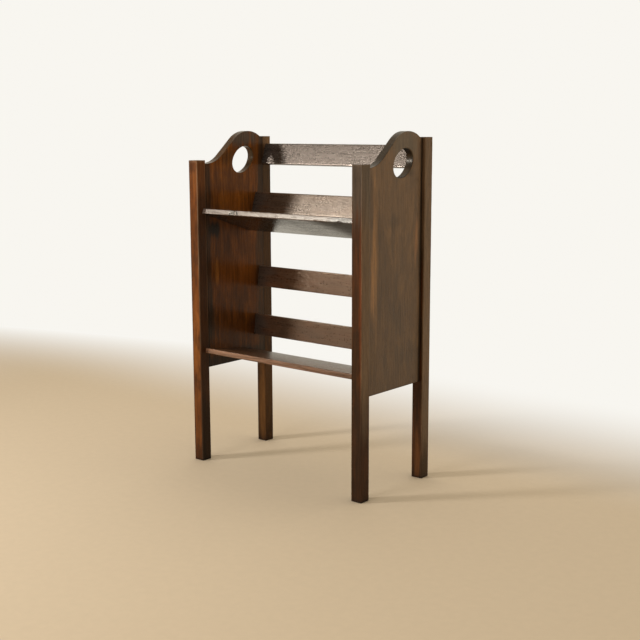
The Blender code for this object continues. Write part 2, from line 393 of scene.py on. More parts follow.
@dataclass(frozen=True)
class OakFinish:
    """Stained oak under satin varnish.

    The stain's body is broken up by warm flames and dark bands along the grain,
    fine fibres and open pores. Rubbed arrises show barer wood.
    """

    stain: Colour
    flame: Colour
    shade: Colour
    bare_and_sheen: Colour = (0.30, 0.17, 0.095)
    # The dark colour of the open pores, of dirt and of painted shade.
    dirt: Colour = (0.008, 0.006, 0.005)
    flame_cover: float = 0.5
    shade_cover: float = 0.5
    line_depth: float = 0.35
    cloudy: float = 0.4
    edge: Colour = (0.045, 0.035, 0.026)
    edge_cover: float = 0.8
    edge_gloss: float = 0.0
    rub: float = 0.25
    patchy_rub: float = 1.0
    roughness: float = 0.38
    specular: float = 0.4
    gloss_tint: Colour = (1.0, 0.91, 0.76)
    ior: float = 1.5
    coat: float = 0.1
    coat_roughness: float = 0.22
    relief: float = 0.9
    speckle: float = 0.3
    pore_depth: float = 0.5

    def dress(self, piece: bpy.types.Object, grain: Grain, seed: int, patches: Sequence[Patch] = ()) -> None:
        """Gives a piece this finish.

        Args:
            piece: The piece, with its rubbed-and-sheen, dirt-and-shade and edge attributes.
            grain: The axis of its grain.
            seed: Which part of the endless pattern it shows.
            patches: Patches that this timber has of its own.
        """
        material, bench, shader = new_material(f"{piece.name}_oak")
        parts = GrainParts.lay(bench, grain, seed)
        colour = self.stained(bench, parts)
        matte = parts.edge * -self.edge_gloss
        for patch in patches:
            cover = patch.cover(bench, parts)
            colour = bench.mix(cover * patch.strength, colour, opaque(patch.colour))
            matte = matte + cover * patch.matte if patch.matte else matte

        bench.plug(shader.inputs["Base Color"], self.aged(bench, parts, colour))
        bench.plug(shader.inputs["Roughness"], self.dulled(parts, matte))
        bench.plug(shader.inputs["Normal"], self.raised(bench, parts))
        shader.inputs["Specular IOR Level"].default_value = self.specular
        shader.inputs["Specular Tint"].default_value = opaque(self.gloss_tint)
        shader.inputs["IOR"].default_value = self.ior
        shader.inputs["Coat Weight"].default_value = self.coat
        shader.inputs["Coat Roughness"].default_value = self.coat_roughness
        piece.data.materials.clear()
        piece.data.materials.append(material)

    def stained(self, bench: ShaderBench, parts: GrainParts) -> Wire:
        """Gives the stain's colour, with its flames and dark bands, and the duller edges.

        Args:
            bench: The material's tree.
            parts: The timber's grain.

        Returns:
            The colour.
        """
        mottle = parts.figure * (1.0 - self.cloudy) + parts.clouds * self.cloudy
        bands = 1.0 - parts.clouds * 0.5 - parts.broad * 0.5
        colour = bench.mix(mottle.ramp(*FLAME_RISE) * self.flame_cover, opaque(self.stain), opaque(self.flame))
        colour = bench.mix(bands.ramp(*SHADE_RISE) * self.shade_cover, colour, opaque(self.shade))
        darkening = bench.mix(1.0, opaque(self.edge), bench.grey(parts.clouds.scaled(*EDGE_MOTTLE)), "MULTIPLY")
        drift = parts.broad.scaled(*EDGE_DRIFT).at_most(1.0)
        return bench.mix(parts.edge * self.edge_cover * drift, colour, darkening)

    def aged(self, bench: ShaderBench, parts: GrainParts, colour: Wire) -> Wire:
        """Adds the fine lines and open pores of the grain to a colour, then the wear (on the upper shelf's front edge
        also a painted highlight), and the dirt with the painted shade.

        Args:
            bench: The material's tree.
            parts: The timber's grain.
            colour: The stain's colour, with its patches.

        Returns:
            The colour that shows.
        """
        tone = GRAIN_TONE + self.line_depth * (parts.lines - 0.5) + FIBRE_TONE * parts.fibre
        colour = bench.mix(1.0, colour, bench.grey(tone), "MULTIPLY")
        colour = bench.mix(parts.pores * self.pore_depth, colour, opaque(self.dirt))
        bald = 1.0 - self.patchy_rub * (1.0 - parts.broad.ramp(*BALD_RISE))
        # Rubbed arrises take the bare colour; on the upper shelf's front edge it is also a painted highlight.
        rubbed = parts.rubbed * parts.lines.scaled(*BARE_LINES) * bald * self.rub
        colour = bench.mix(rubbed, colour, opaque(self.bare_and_sheen))
        # Dirt and painted shade darken the colour last.
        return bench.mix(parts.dirty * parts.broad.scaled(*DIRT_AND_SHADE_DRIFT), colour, opaque(self.dirt))

    def dulled(self, parts: GrainParts, matte: Wire) -> Wire:
        """Gives the varnish's roughness, which the grain varies.

        Args:
            parts: The timber's grain.
            matte: How much duller the edges and the patches are.

        Returns:
            The roughness.
        """
        rough = self.roughness + IN_GLOSS.fibre * (parts.fibre - 0.5) + IN_GLOSS.lines * (parts.lines - 0.5)
        rough = rough + IN_GLOSS.pores * parts.pores + IN_GLOSS.ripple * (parts.ripple - 0.5)
        return rough + IN_GLOSS.specks * self.speckle * parts.specks + matte

    def raised(self, bench: ShaderBench, parts: GrainParts) -> Wire:
        """Gives the normal over the relief that the grain leaves in the varnish.

        Args:
            bench: The material's tree.
            parts: The timber's grain.

        Returns:
            The normal.
        """
        height = IN_RELIEF.fibre * parts.fibre + IN_RELIEF.lines * parts.lines + IN_RELIEF.pores * parts.pores
        height = height + IN_RELIEF.ripple * parts.ripple + IN_RELIEF.specks * self.speckle * parts.specks
        sockets = {"Strength": self.relief, "Distance": RELIEF_HEIGHT, "Height": height}
        return bench.add("ShaderNodeBump", {}, sockets)


@dataclass(frozen=True)
class BirchFinish:
    """Bare birch, as dowel rod is sold."""

    pale: Colour = (0.56, 0.40, 0.23)
    dark: Colour = (0.40, 0.26, 0.13)
    fleck_scale: float = 420.0
    fleck_detail: float = 3.0
    fleck_rise: Span = (0.35, 0.7)
    fleck_gloss: float = 0.2
    roughness: float = 0.62

    def material(self) -> bpy.types.Material:
        """Makes the one material that all dowels share.

        Returns:
            The material.
        """
        material, bench, shader = new_material("dowel_birch_rod")
        place = bench.add("ShaderNodeTexCoord", out="Object")
        flecks = bench.noise(bench.mapped(place, (self.fleck_scale,) * 3), self.fleck_detail)
        colour = bench.mix(flecks.ramp(*self.fleck_rise), opaque(self.pale), opaque(self.dark))
        bench.plug(shader.inputs["Base Color"], colour)
        bench.plug(shader.inputs["Roughness"], self.roughness + self.fleck_gloss * (flecks - 0.5))
        return material


class Bench:
    """Work on one piece at a time, most of it in edit mode."""

    SHARP_ANGLE = math.radians(50)
    NORMAL_WEIGHT = 80
    WEAR_GAIN = 1.4
    WEAR_LEVEL = 0.85
    WEAR_DETAIL = 3

    @staticmethod
    def take(piece: bpy.types.Object) -> None:
        """Makes a piece the only one that is selected, and the active one.

        Args:
            piece: The piece.
        """
        bpy.ops.object.select_all(action="DESELECT")
        piece.select_set(True)
        bpy.context.view_layer.objects.active = piece

    @staticmethod
    def start(name: str, low: Vector, high: Vector) -> bpy.types.Object:
        """Adds a block between two corners, with its place in its mesh.

        Args:
            name: The piece's name.
            low: Its lowest corner.
            high: Its highest corner.

        Returns:
            The block, alone selected and active.
        """
        bpy.ops.object.select_all(action="DESELECT")
        bpy.ops.mesh.primitive_cube_add(size=1.0, location=(low + high) / 2, scale=high - low)
        return Bench.settle(name)

    @staticmethod
    def settle(name: str) -> bpy.types.Object:
        """Names the active object and moves its place, turn and size into its mesh.

        Args:
            name: The piece's name.

        Returns:
            The piece.
        """
        bpy.ops.object.transform_apply(location=True, rotation=True, scale=True)
        piece = bpy.context.active_object
        piece.name = name
        piece.data.name = name
        return piece

    @staticmethod
    @contextmanager
    def editing(piece: bpy.types.Object) -> Iterator[None]:
        """Holds a piece in edit mode.

        Args:
            piece: The piece.

        Yields:
            Nothing, while the piece is in edit mode.
        """
        Bench.take(piece)
        bpy.ops.object.mode_set(mode="EDIT")
        yield
        bpy.ops.object.mode_set(mode="OBJECT")

    @staticmethod
    def pick(piece: bpy.types.Object, kind: str, test: Callable[[Any], bool]) -> None:
        """Selects only the vertices, edges or faces that pass a test.

        Args:
            piece: The piece in edit mode.
            kind: VERT, EDGE or FACE.
            test: Says whether an element is wanted.
        """
        bpy.ops.mesh.select_mode(type=kind)
        bpy.ops.mesh.select_all(action="DESELECT")
        mesh = bmesh.from_edit_mesh(piece.data)
        elements = {"VERT": mesh.verts, "EDGE": mesh.edges, "FACE": mesh.faces}[kind]
        for element in [element for element in elements if test(element)]:
            element.select_set(True)
        mesh.select_flush_mode()
        bmesh.update_edit_mesh(piece.data)

    @staticmethod
    def slice(place: Vector, normal: Triple) -> None:
        """Cuts a loop of edges through the whole piece, where a plane crosses it."""
        bpy.ops.mesh.select_all(action="SELECT")
        bpy.ops.mesh.bisect(plane_co=place, plane_no=normal, use_fill=False, clear_inner=False, clear_outer=False)

    @staticmethod
    def bevel(width: float, segments: int) -> None:
        """Rounds the selected edges."""
        bpy.ops.mesh.bevel(offset=width, segments=segments, profile=0.5, affect="EDGES", clamp_overlap=True)

    @staticmethod
    def apply(piece: bpy.types.Object, kind: str, settings: dict[str, Any]) -> None:
        """Adds a modifier and applies it.

        Args:
            piece: The piece.
            kind: The modifier's type.
            settings: Its settings by name.
        """
        Bench.take(piece)
        modifier = piece.modifiers.new(kind.lower(), kind)
        for name, value in settings.items():
            setattr(modifier, name, value)
        bpy.ops.object.modifier_apply(modifier=modifier.name)

    @staticmethod
    def paint(piece: bpy.types.Object, name: str, amount: Callable[[Vector], float]) -> None:
        """Stores a number at each vertex, as an attribute that the finish reads.

        Args:
            piece: The piece.
            name: The attribute's name.
            amount: Gives the number from the vertex's place.
        """
        layer = piece.data.attributes.new(name, "FLOAT", "POINT")
        layer.data.foreach_set("value", [amount(vertex.co) for vertex in piece.data.vertices])

    @staticmethod
    def paint_faces(piece: bpy.types.Object, name: str, amount: Callable[[Vector], float]) -> None:
        """Stores a number on each face, found from the face's normal."""
        layer = piece.data.attributes.new(name, "FLOAT", "FACE")
        layer.data.foreach_set("value", [amount(face.normal) for face in piece.data.polygons])

    @staticmethod
    def rub_arrises(piece: bpy.types.Object, depth: float, spread: float) -> None:
        """Wears the arrises unevenly, as far as the rubbed-and-sheen attribute says.

        Args:
            piece: The piece.
            depth: How deep the wear goes.
            spread: The length of one hollow or rise.
        """
        group = piece.vertex_groups.new(name="arris")
        for index, item in enumerate(piece.data.attributes["rubbed"].data):
            group.add([index], min(item.value * Bench.WEAR_GAIN, 1.0), "REPLACE")
        hollows = bpy.data.textures.new(f"{piece.name}_wear", "CLOUDS")
        hollows.noise_scale = spread
        hollows.noise_depth = Bench.WEAR_DETAIL
        Bench.apply(piece, "DISPLACE", {
            "texture": hollows, "texture_coords": "LOCAL", "direction": "NORMAL", "mid_level": Bench.WEAR_LEVEL,
            "strength": depth, "vertex_group": "arris"})
        piece.vertex_groups.clear()

    @staticmethod
    def smooth(piece: bpy.types.Object) -> None:
        """Shades the eased arrises round and keeps the faces flat.

        Args:
            piece: The piece.
        """
        Bench.take(piece)
        bpy.ops.object.shade_smooth_by_angle(angle=Bench.SHARP_ANGLE)
        Bench.apply(piece, "WEIGHTED_NORMAL", {"weight": Bench.NORMAL_WEIGHT, "keep_sharp": True})


@dataclass
class OakPiece:
    """A piece of oak that shows, and takes the place of one of the frame's solids."""

    node: str
    slot: str
    grain: Grain
    low: Vector
    high: Vector
    finish: OakFinish
    seed: int
    patches: tuple[Patch, ...] = ()
    arris: float = 1.0 * MM
    arris_steps: int = 3
    support: float = 3.5 * MM
    wear_depth: float = 0.4 * MM
    wear_spread: float = 16 * MM

    def build(self) -> bpy.types.Object:
        """Models the piece, wears it and dresses it.

        Returns:
            The finished piece.
        """
        piece = self.shape()
        Bench.paint(piece, "rubbed", self.rubbed)
        Bench.paint(piece, "dirt", self.dirt)
        Bench.paint_faces(piece, "edge", self.edge)
        Bench.rub_arrises(piece, self.wear_depth, self.wear_spread)
        self.lean(piece)
        Bench.smooth(piece)
        self.finish.dress(piece, self.grain, self.seed, self.patches)
        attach(piece, "root")
        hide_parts(self.node)
        LOG.info("%s: %d faces", piece.name, len(piece.data.polygons))
        return piece

    def shape(self) -> bpy.types.Object:
        """Models the piece, before it is worn and leans."""
        raise NotImplementedError

    def rubbed(self, place: Vector) -> float:
        """Gives how much a place is rubbed, which on the upper shelf's front edge also paints a highlight: 0 where it
        isn't, 1 where it is bare.
        """
        raise NotImplementedError

    def dirt(self, place: Vector) -> float:
        """Gives how much dirt and painted shade darken a place: 0 where neither does, more where they do."""
        return 0.0

    def edge(self, normal: Vector) -> float:
        """Gives 1 for a face that takes the look of an edge, and 0 for another."""
        raise NotImplementedError

    def lean(self, piece: bpy.types.Object) -> None:
        """Leaves the piece upright."""


@dataclass
class Timber(OakPiece):
    """A straight timber of rectangular section."""

    cuts: int = 110
    rub_reach: float = 2.2
    end_facing: float = 0.7
    tilt: float = 0.0
    pivot: Vector = field(default_factory=Vector)

    @property
    def across(self) -> list[int]:
        """The two axes across the grain."""
        return [axis for axis in range(3) if axis != self.grain.value]

    def shape(self) -> bpy.types.Object:
        """Models the timber, before it is worn and leans.

        Returns:
            The piece.
        """
        piece = Bench.start(f"{self.node}_timber", self.low, self.high)
        with Bench.editing(piece):
            self.ease(piece)
            self.add_support(piece)
            self.divide(piece)
            self.shape_ends(piece)
        return piece

    def is_long(self, edge: bmesh.types.BMEdge) -> bool:
        """Says whether an edge runs along the grain."""
        run = edge.verts[1].co - edge.verts[0].co
        return abs(run[self.grain.value]) > PARALLEL * run.length

    def ease(self, piece: bpy.types.Object) -> None:
        """Rounds the long arrises."""
        Bench.pick(piece, "EDGE", self.is_long)
        Bench.bevel(self.arris, self.arris_steps)

    def add_support(self, piece: bpy.types.Object) -> None:
        """Cuts a loop beside every arris, where the wear runs out.

        Args:
            piece: The piece in edit mode.
        """
        for axis in self.across:
            normal = tuple(1.0 if index == axis else 0.0 for index in range(3))
            for place in (self.low[axis] + self.support, self.high[axis] - self.support):
                Bench.slice(Vector(normal) * place, normal)

    def divide(self, piece: bpy.types.Object) -> None:
        """Divides the length, so that the arrises can wear unevenly."""
        Bench.pick(piece, "EDGE", self.is_long)
        bpy.ops.mesh.subdivide(number_cuts=self.cuts)

    def shape_ends(self, piece: bpy.types.Object) -> None:
        """Leaves a plain timber's ends square, because they butt against the sides."""

    def arris_distance(self, place: Vector) -> float:
        """Gives how far a place on the surface is from the nearest long arris."""
        return max(min(place[axis] - self.low[axis], self.high[axis] - place[axis]) for axis in self.across)

    def rubbed(self, place: Vector) -> float:
        """Gives how much a place is rubbed, by its arrises."""
        return max(0.0, 1.0 - self.arris_distance(place) / (self.rub_reach * self.arris))

    def edge(self, normal: Vector) -> float:
        """Gives 1 for the end grain, and 0 for another face."""
        return float(abs(normal[self.grain.value]) > self.end_facing)

    def lean(self, piece: bpy.types.Object) -> None:
        """Turns the timber back about its pivot, and moves the turn into its mesh.

        Args:
            piece: The upright or level piece.
        """
        if self.tilt:
            turn = Matrix.Rotation(-self.tilt, 4, "X")
            piece.matrix_world = Matrix.Translation(self.pivot) @ turn @ Matrix.Translation(-self.pivot)
            Bench.take(piece)
            bpy.ops.object.transform_apply(location=True, rotation=True, scale=True)


@dataclass
class Post(Timber):
    """A square post with a chamfered foot and an eased top."""

    foot_chamfer: float = 3.0 * MM
    top_ease: float = 1.0 * MM
    end_steps: int = 2
    # Painted shade darkens the post towards its foot, this much and up to this height; the very foot is darker still.
    foot_shade: float = 0.5
    foot_shade_height: float = 0.26
    darkening: float = 0.85
    darkening_height: float = 0.013
    hand_height: float = 0.22
    hand_rise: float = 0.22
    least_rub: float = 0.25
    top_rub: float = 0.7
    top_reach: float = 3.0

    def shape_ends(self, piece: bpy.types.Object) -> None:
        """Chamfers the foot and eases the top.

        Args:
            piece: The piece in edit mode.
        """
        for level, width in ((self.low.z, self.foot_chamfer), (self.high.z, self.top_ease)):
            Bench.pick(piece, "EDGE", lambda edge: self.is_rim(edge, level))
            Bench.bevel(width, self.end_steps)

    @staticmethod
    def is_rim(edge: bmesh.types.BMEdge, level: float) -> bool:
        """Says whether an edge is on the rim of the end at a level."""
        at_level = all(abs(vertex.co.z - level) < TINY for vertex in edge.verts)
        return at_level and any(abs(face.normal.z) < 0.5 for face in edge.link_faces)

    def rubbed(self, place: Vector) -> float:
        """Gives how much a place is rubbed: by its arrises and its top, and less where no hand reaches.

        Args:
            place: The place.

        Returns:
            0 where it isn't rubbed, 1 where it is bare.
        """
        from_top = self.high.z - place.z
        near_arris = self.arris_distance(place) < self.support
        top = max(0.0, 1.0 - from_top / (self.top_reach * self.top_ease)) if near_arris else 0.0
        reached = clamp((place.z - self.hand_height) / self.hand_rise)
        in_reach = self.least_rub + (1.0 - self.least_rub) * reached
        return max(super().rubbed(place) * in_reach, self.top_rub * top)

    def dirt(self, place: Vector) -> float:
        """Gives how dark a place is painted: painted shade darkens the post towards its foot, and the very end is
        darker still.

        Args:
            place: The place.

        Returns:
            0 where it is not darkened, 1 where the darkening hides the stain.
        """
        rise = place.z - self.low.z
        foot_shade = self.foot_shade * max(0.0, 1.0 - rise / self.foot_shade_height)
        return max(foot_shade, self.darkening * max(0.0, 1.0 - rise / self.darkening_height))


@dataclass(frozen=True)
class Chip:
    """A piece broken out of a shelf's lower front arris."""

    x: float
    half_length: float
    depth: float


@dataclass(frozen=True)
class Crack:
    """A dark check across a shelf's front edge."""

    x: float
    half_width: float
    slant: float


@dataclass(frozen=True)
class WearAndSheen:
    """How the wear of a shelf's front edge, which on the upper shelf is also a painted highlight, fades to the right,
    and downwards.
    """

    start: float = 1.0
    fade: float = 0.04
    spare: float = 0.8
    top_bias: float = 0.1


@dataclass
class Shelf(Timber):
    """A trough's shelf, with a rounded front edge that books have worn."""

    nosing: float = 1.7 * MM
    nosing_steps: int = 5
    chips: tuple[Chip, ...] = ()
    chip_reach: float = 1.1
    chip_slope: float = 0.35
    cracks: tuple[Crack, ...] = ()
    crack_cuts: tuple[float, ...] = (-2.0, -0.9, 0.9, 2.0)
    crack_reach: float = 0.5
    crack_depth: float = 0.7 * MM
    front_wear_and_sheen: WearAndSheen = WearAndSheen()
    worn_reach: float = 2.3
    underside: float = 0.5 * MM

    def ease(self, piece: bpy.types.Object) -> None:
        """Rounds the front arrises more than the back ones.

        Args:
            piece: The piece in edit mode.
        """
        middle = (self.low.y + self.high.y) / 2
        for is_front, width, steps in ((True, self.nosing, self.nosing_steps), (False, self.arris, self.arris_steps)):
            Bench.pick(piece, "EDGE", lambda edge: self.is_long(edge) and (edge.verts[0].co.y < middle) == is_front)
            Bench.bevel(width, steps)

    def shape_ends(self, piece: bpy.types.Object) -> None:
        """Breaks the chips out of the lower front arris and opens the checks.

        Args:
            piece: The piece in edit mode.
        """
        chip_back, chip_top = self.low.y + self.chip_reach * self.nosing, self.low.z + self.nosing
        for chip in self.chips:
            Bench.pick(piece, "VERT", lambda vertex: abs(vertex.co.x - chip.x) < chip.half_length
                       and vertex.co.y < chip_back and vertex.co.z < chip_top)
            bpy.ops.transform.translate(value=(0.0, self.chip_slope * chip.depth, chip.depth))
        crack_back = self.low.y + self.crack_reach * self.nosing
        for crack in self.cracks:
            middle = Vector((crack.x, self.low.y, (self.low.z + self.high.z) / 2))
            for offset in self.crack_cuts:
                Bench.slice(middle + Vector((offset * crack.half_width, 0.0, 0.0)), (1.0, 0.0, -crack.slant))
            Bench.pick(piece, "VERT", lambda vertex: self.in_crack(vertex.co, crack) and vertex.co.y < crack_back)
            bpy.ops.transform.translate(value=(0.0, self.crack_depth, 0.0))

    def in_crack(self, place: Vector, crack: Crack) -> bool:
        """Says whether a place is inside a slanting check."""
        middle = (self.low.z + self.high.z) / 2
        return abs(place.x - crack.x - crack.slant * (place.z - middle)) < crack.half_width

    def rubbed(self, place: Vector) -> float:
        """Gives how much a place is rubbed: the whole front edge, and the back arrises. On the upper shelf the pale
        front edge is also a painted highlight.

        Args:
            place: The place.

        Returns:
            0 where it isn't rubbed, 1 where it is bare.
        """
        front = max(0.0, 1.0 - (place.y - self.low.y) / (self.worn_reach * self.nosing))
        spared = self.front_wear_and_sheen.spare * clamp((place.x - self.front_wear_and_sheen.start) / self.front_wear_and_sheen.fade)
        below = self.front_wear_and_sheen.top_bias * (self.high.z - place.z) / (self.high.z - self.low.z)
        return max(front * (1.0 - spared) * (1.0 - below), super().rubbed(place) if place.y > 0.0 else 0.0)

    def dirt(self, place: Vector) -> float:
        """Gives how dark a place is painted: the checks are dirty, and the underside is darkened with dirt and painted
        shade.

        Args:
            place: The place.

        Returns:
            0 where it is clean, more where it is darker.
        """
        if place.y < self.low.y + self.nosing:
            return CHECK_DIRT if any(self.in_crack(place, crack) for crack in self.cracks) else 0.0
        # The underside: dirt and painted shade.
        return UNDERSIDE_SHADE_AND_DIRT if place.z < self.low.z + self.underside else 0.0


@dataclass
class ScrolledPanel(OakPiece):
    """A side panel with a scrolled top and an oval hand hole."""

    front_top: float = field(kw_only=True)
    back_top: float = field(kw_only=True)
    front_drop: float = 0.007
    cove_radius: float = 0.070
    ramp_angle: float = math.radians(41)
    hump_radius: float = 0.066
    hump_setback: float = 0.0455
    arc_steps: int = 18
    hole_length: float = 0.0692
    hole_width: float = 0.0508
    hole_tilt: float = math.radians(34)
    hole_lead: float = 0.0178
    hole_drop: float = 0.0619
    hole_sides: int = 72
    hole_ease: float = 2.0 * MM
    hole_steps: int = 4
    arris: float = 1.3 * MM
    sharp_angle: float = math.radians(40)
    support: float = 4.0 * MM
    joint_margin: float = 2.0 * MM
    wear_depth: float = 0.6 * MM
    wear_spread: float = 18 * MM
    rub_reach: float = 4.0
    rim_rub: float = 0.5
    rim_reach: float = 1.2
    foot_reach: float = 2.0
    scroll_reach: float = 2.2
    # Painted shade and grime darken the panel beside the posts, this much and over this width.
    darkening: float = 0.45
    shade_and_grime_width: float = 0.012
    edge_facing: float = 0.8
    flat_top: float = field(init=False)
    hump_y: float = field(init=False)
    hump_z: float = field(init=False)
    hole_y: float = field(init=False)
    hole_z: float = field(init=False)

    def __post_init__(self) -> None:
        """Works out the height of the flat and the centres of the hump and the hole."""
        self.flat_top = self.front_top - self.front_drop
        self.hump_y, self.hump_z = self.high.y - self.hump_setback, self.high.z - self.hump_radius
        self.hole_y, self.hole_z = self.hump_y - self.hole_lead, self.high.z - self.hole_drop

    def shape(self) -> bpy.types.Object:
        """Models the panel, before it is worn.

        Returns:
            The piece.
        """
        piece = self.blank(f"{self.node}_board")
        self.cut_hand_hole(piece)
        self.ease(piece)
        return piece

    def blank(self, name: str) -> bpy.types.Object:
        """Draws the outline with straight runs and arcs, fills it and draws it out to the panel's thickness.

        Args:
            name: The piece's name.

        Returns:
            The solid panel, without its hole.
        """
        x = self.low.x
        ramp_top = Vector((x, self.hump_y - self.hump_radius * math.sin(self.ramp_angle),
                           self.hump_z + self.hump_radius * math.cos(self.ramp_angle)))
        corner_y = ramp_top.y - (ramp_top.z - self.flat_top) / math.tan(self.ramp_angle)
        cove_start = corner_y - self.cove_radius * math.tan(self.ramp_angle / 2)
        fall = math.acos((self.back_top - self.hump_z) / self.hump_radius)

        bpy.ops.object.select_all(action="DESELECT")
        bpy.ops.mesh.primitive_plane_add(size=1.0, location=(x, self.low.y, self.flat_top))
        piece = Bench.settle(name)
        with Bench.editing(piece):
            bpy.ops.mesh.select_mode(type="VERT")
            bpy.ops.mesh.select_all(action="SELECT")
            bpy.ops.mesh.merge(type="CENTER")
            self.draw_to(piece, (x, cove_start, self.flat_top))
            self.draw_arc((x, cove_start, self.flat_top + self.cove_radius), self.ramp_angle)
            self.draw_to(piece, ramp_top)
            self.draw_arc((x, self.hump_y, self.hump_z), -(self.ramp_angle + fall))
            for corner in ((x, self.high.y, self.back_top), (x, self.high.y, self.low.z), (x, self.low.y, self.low.z)):
                self.draw_to(piece, corner)
            bpy.ops.mesh.select_all(action="SELECT")
            bpy.ops.mesh.remove_doubles(threshold=TINY)
            bpy.ops.mesh.edge_face_add()
            thickness = self.high.x - self.low.x
            bpy.ops.mesh.extrude_region_move(TRANSFORM_OT_translate={"value": (thickness, 0.0, 0.0)})
            bpy.ops.mesh.select_all(action="SELECT")
            bpy.ops.mesh.normals_make_consistent(inside=False)
        return piece

    @staticmethod
    def draw_to(piece: bpy.types.Object, corner: Sequence[float]) -> None:
        """Draws a straight edge from the selected vertex to a corner.

        Args:
            piece: The piece in edit mode.
            corner: The corner.
        """
        mesh = bmesh.from_edit_mesh(piece.data)
        pen = next(vertex for vertex in mesh.verts if vertex.select)
        bpy.ops.mesh.extrude_vertices_move(TRANSFORM_OT_translate={"value": Vector(corner) - pen.co})

    def draw_arc(self, centre: Triple, angle: float) -> None:
        """Draws an arc from the selected vertex about a centre, turning upwards where the angle is positive."""
        bpy.ops.mesh.spin(steps=self.arc_steps, angle=angle, center=centre, axis=(-1.0, 0.0, 0.0))

    def cut_hand_hole(self, piece: bpy.types.Object) -> None:
        """Cuts the oval hole right through.

        Args:
            piece: The solid panel.
        """
        middle = Vector(((self.low.x + self.high.x) / 2, self.hole_y, self.hole_z))
        reach = 4 * (self.high.x - self.low.x)
        bpy.ops.object.select_all(action="DESELECT")
        bpy.ops.mesh.primitive_cylinder_add(
            vertices=self.hole_sides, radius=0.5, depth=reach, rotation=(0.0, math.pi / 2, 0.0))
        cutter = Bench.settle("hand_hole_cutter")
        oval = Matrix.Diagonal((1.0, self.hole_length, self.hole_width, 1.0))
        cutter.matrix_world = Matrix.Translation(middle) @ Matrix.Rotation(self.hole_tilt, 4, "X") @ oval
        Bench.apply(piece, "BOOLEAN", {"operation": "DIFFERENCE", "solver": "EXACT", "object": cutter})
        bpy.data.objects.remove(cutter, do_unlink=True)

    def from_hole(self, place: Vector) -> float:
        """Gives about how far a place is from the wall of the hand hole.

        Args:
            place: The place.

        Returns:
            The distance, negative inside the hole.
        """
        y, z = place.y - self.hole_y, place.z - self.hole_z
        along = y * math.cos(self.hole_tilt) + z * math.sin(self.hole_tilt)
        across = z * math.cos(self.hole_tilt) - y * math.sin(self.hole_tilt)
        share = math.hypot(2 * along / self.hole_length, 2 * across / self.hole_width)
        return math.hypot(y, z) * (1.0 - 1.0 / share)

    def ease(self, piece: bpy.types.Object) -> None:
        """Rounds the scroll, the foot and the hole's rims, and cuts a loop beside them.

        Args:
            piece: The panel with its hole.
        """
        def is_arris(edge: bmesh.types.BMEdge) -> bool:
            """Says whether an edge is an arris of a face, and not of a glued joint."""
            start, end = (vertex.co for vertex in edge.verts)
            on_a_face = abs(start.x - end.x) < TINY and edge.calc_face_angle(0.0) > self.sharp_angle
            on_a_joint = abs(start.y - end.y) < TINY and self.from_joint(start) < 10 * TINY
            return on_a_face and not on_a_joint

        def near_hole(edge: bmesh.types.BMEdge) -> bool:
            """Says whether an edge is on the wall of the hand hole."""
            return all(abs(self.from_hole(vertex.co)) < 0.5 * MM for vertex in edge.verts)

        with Bench.editing(piece):
            Bench.pick(piece, "EDGE", lambda edge: is_arris(edge) and not near_hole(edge))
            Bench.bevel(self.arris, self.arris_steps)
            Bench.pick(piece, "EDGE", lambda edge: is_arris(edge) and near_hole(edge))
            Bench.bevel(self.hole_ease, self.hole_steps)
            Bench.pick(piece, "FACE", lambda face: abs(face.normal.x) > PARALLEL)
            bpy.ops.mesh.inset(thickness=self.support, depth=0.0, use_boundary=True)

    def rubbed(self, place: Vector) -> float:
        """Gives how much a place is rubbed: the eased arrises, but not the glued joints or the faces.

        Args:
            place: The place.

        Returns:
            0 where it isn't rubbed, 1 where it is bare.
        """
        from_face = min(place.x - self.low.x, self.high.x - place.x)
        if from_face > TINY:
            return max(0.0, 1.0 - from_face / (self.rub_reach * self.arris)) if self.is_open(place) else 0.0
        near_rim = abs(self.from_hole(place)) < self.rim_reach * self.hole_ease
        return self.rim_rub if near_rim or self.is_open(place) and self.on_outline(place) else 0.0

    def dirt(self, place: Vector) -> float:
        """Gives the painted shade and grime: the panel darkens beside the posts."""
        return self.darkening * max(0.0, 1.0 - self.from_joint(place) / self.shade_and_grime_width)

    def edge(self, normal: Vector) -> float:
        """Gives 1 for the scroll, the foot and the hole's wall, and 0 for the two faces."""
        return float(abs(normal.x) < self.edge_facing)

    def from_joint(self, place: Vector) -> float:
        """Gives how far a place is from the nearer post."""
        return min(place.y - self.low.y, self.high.y - place.y)

    def is_open(self, place: Vector) -> bool:
        """Says whether a place is clear of the glued edges."""
        return self.from_joint(place) > self.joint_margin

    def on_outline(self, place: Vector) -> bool:
        """Says whether a place on a face is beside the scroll or the foot, and not on the loop inside them."""
        by_foot = place.z - self.low.z < self.foot_reach * self.arris
        return by_foot or self.scroll_height(place.y) - place.z < self.scroll_reach * self.arris

    def scroll_height(self, y: float) -> float:
        """Gives the height of the scroll's hump, ramp and flat at a depth.

        Args:
            y: The depth.

        Returns:
            The height, without the cove between the flat and the ramp.
        """
        ramp_top = self.hump_y - self.hump_radius * math.sin(self.ramp_angle)
        if y > ramp_top:
            inside = max(self.hump_radius ** 2 - (y - self.hump_y) ** 2, 0.0)
            return max(self.hump_z + math.sqrt(inside), self.back_top)
        top = self.hump_z + self.hump_radius * math.cos(self.ramp_angle)
        return max(self.flat_top, top - (ramp_top - y) * math.tan(self.ramp_angle))


